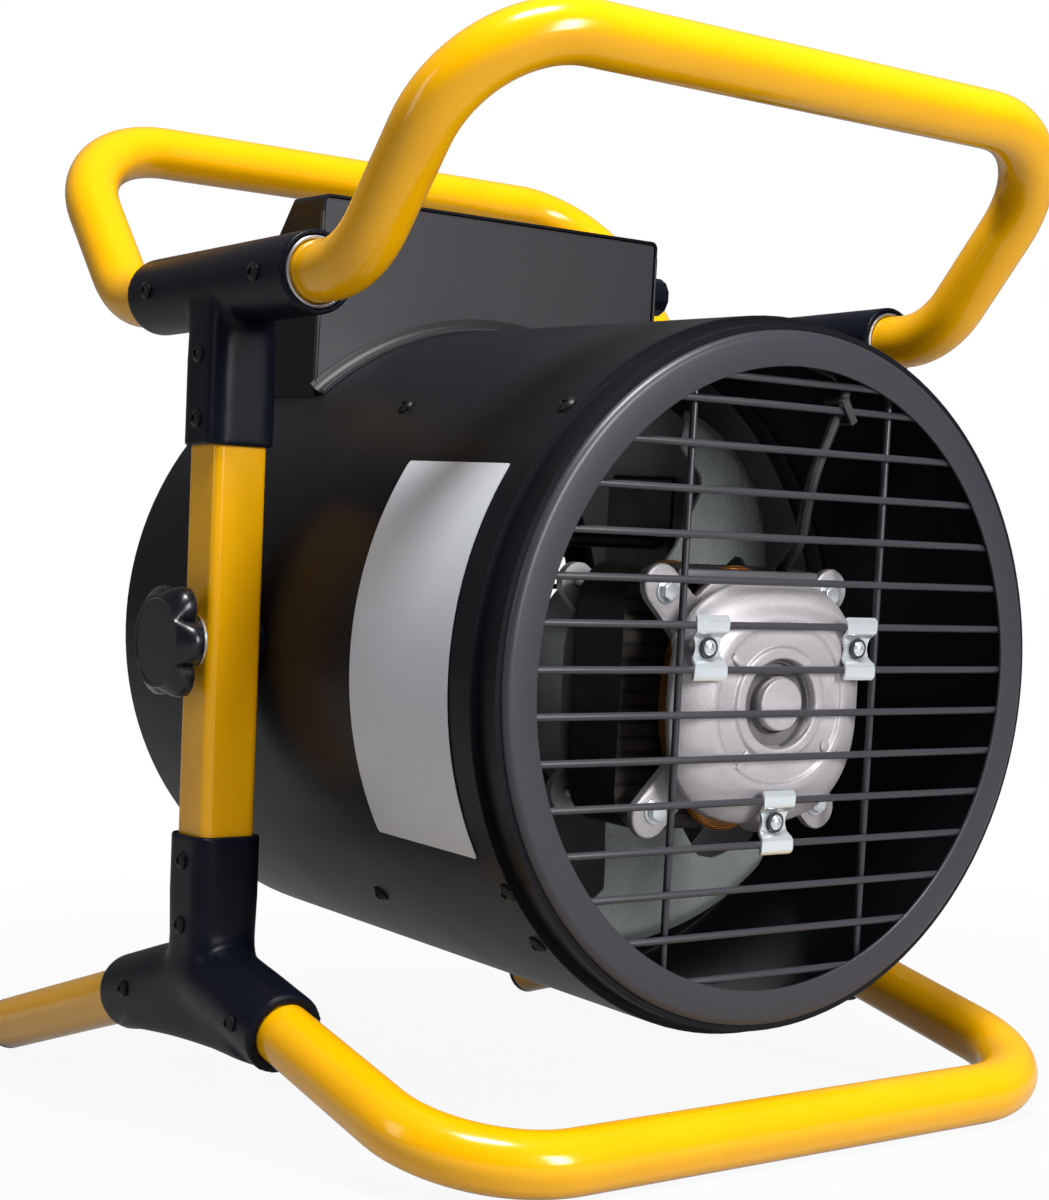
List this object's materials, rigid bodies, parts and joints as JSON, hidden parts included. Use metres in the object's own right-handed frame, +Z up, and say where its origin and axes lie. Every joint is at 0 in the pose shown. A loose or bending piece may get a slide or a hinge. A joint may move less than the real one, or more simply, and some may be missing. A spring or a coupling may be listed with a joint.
{
  "type": "forced air heater",
  "caption": "Portable electric forced air heater: a black steel drum with fan, motor and heating elements, tilting between the columns of a yellow tube frame with carry handles",
  "frame": {"origin": "middle of the whole part's footprint, on the ground", "axes": "+Z up, +Y rear where the air enters, -Y front where the warm air leaves, +X right"},
  "size_m": [0.3826, 0.4162, 0.4591],
  "materials": {
    "yellow_paint": "powder coat, warm yellow, satin",
    "black_moulding": "moulded nylon, satin black",
    "drum_paint": "black powder coat, satin",
    "ring_paint": "dark grey powder coat, satin",
    "wire_paint": "black powder coat, glossy",
    "black_screws": "black oxide",
    "cast_aluminium": "bare casting, fine grain",
    "core_steel": "laminated and turned steel",
    "copper_wire": "lacquered copper wire",
    "zinc_plate": "bright zinc plate",
    "fan_sheet": "bare pressed sheet",
    "element_steel": "heat-toned stainless steel",
    "black_rubber": "smooth black sleeve",
    "pale_plastic": "pale moulded plastic"
  },
  "bodies": {
    "frame": {"right_column": "yellow_paint", "left_column": "yellow_paint", "right_upper_tee": "black_moulding", "left_upper_tee": "black_moulding", "right_lower_tee": "black_moulding", "left_lower_tee": "black_moulding", "right_front_leg": "yellow_paint", "left_front_leg": "yellow_paint", "right_leg_cap": "black_moulding", "left_leg_cap": "black_moulding", "rear_handle": "yellow_paint", "front_handle": "yellow_paint", "rear_foot_bar": "yellow_paint", "tee_screws": "black_screws", "knob_washers": "zinc_plate"},
    "drum": {"drum_shell": "drum_paint", "intake_collar": "drum_paint", "intake_guard_ring": "ring_paint", "intake_guard_wires": "wire_paint", "outlet_collar": "drum_paint", "outlet_guard_ring": "ring_paint", "outlet_guard_wires": "wire_paint", "drum_screws": "black_screws", "pivot_studs": "zinc_plate", "pivot_spacers": "black_moulding", "motor_rear_bell": "cast_aluminium", "motor_front_bell": "cast_aluminium", "stator_core": "core_steel", "motor_windings": "copper_wire", "motor_bolts": "zinc_plate", "motor_bearings": "core_steel", "motor_clips": "zinc_plate", "clip_screws": "zinc_plate", "motor_lead": "black_rubber", "lead_grommet": "black_rubber", "cable_tie": "black_rubber", "heat_shield": "zinc_plate", "right_element_bracket": "zinc_plate", "left_element_bracket": "zinc_plate", "heating_elements": "element_steel", "thermal_cutout": "pale_plastic", "control_box_cover": "drum_paint", "box_rear_plate": "drum_paint", "selector_switch": "black_moulding", "thermostat": "zinc_plate", "terminal_block": "pale_plastic", "cable_gland": "black_moulding"},
    "fan": {"motor_shaft": "core_steel", "motor_rotor": "core_steel", "fan_wheel": "fan_sheet"},
    "right_knob": {"right_lock_knob": "black_moulding"},
    "left_knob": {"left_lock_knob": "black_moulding"},
    "selector": {"selector_knob": "black_moulding"},
    "thermostat_dial": {"thermostat_knob": "black_moulding"}
  },
  "joints": [
    {"name": "drum_tilt", "type": "hinge", "parent": "frame", "child": "drum", "pos_m": [0, 0.01125, 0.20331], "axis": [1, 0, 0], "range_deg": [-17, 30]},
    {"name": "fan_spin", "type": "hinge", "parent": "drum", "child": "fan", "pos_m": [0, 0.07099, 0.1877], "axis": [0, -0.9968, 0.0797], "continuous": true},
    {"name": "right_lock_knob_turn", "type": "hinge", "parent": "drum", "child": "right_knob", "pos_m": [0.1725, 0.01125, 0.20331], "axis": [1, 0, 0], "range_deg": [0, 360]},
    {"name": "left_lock_knob_turn", "type": "hinge", "parent": "drum", "child": "left_knob", "pos_m": [-0.1725, 0.01125, 0.20331], "axis": [-1, 0, 0], "range_deg": [0, 360]},
    {"name": "selector_turn", "type": "hinge", "parent": "drum", "child": "selector", "pos_m": [0.048, -0.06275, 0.38578], "axis": [0, -0.7199, 0.694], "range_deg": [-270, 0]},
    {"name": "thermostat_turn", "type": "hinge", "parent": "drum", "child": "thermostat_dial", "pos_m": [-0.048, -0.06275, 0.38578], "axis": [0, -0.7199, 0.694], "range_deg": [-270, 0]}
  ]
}
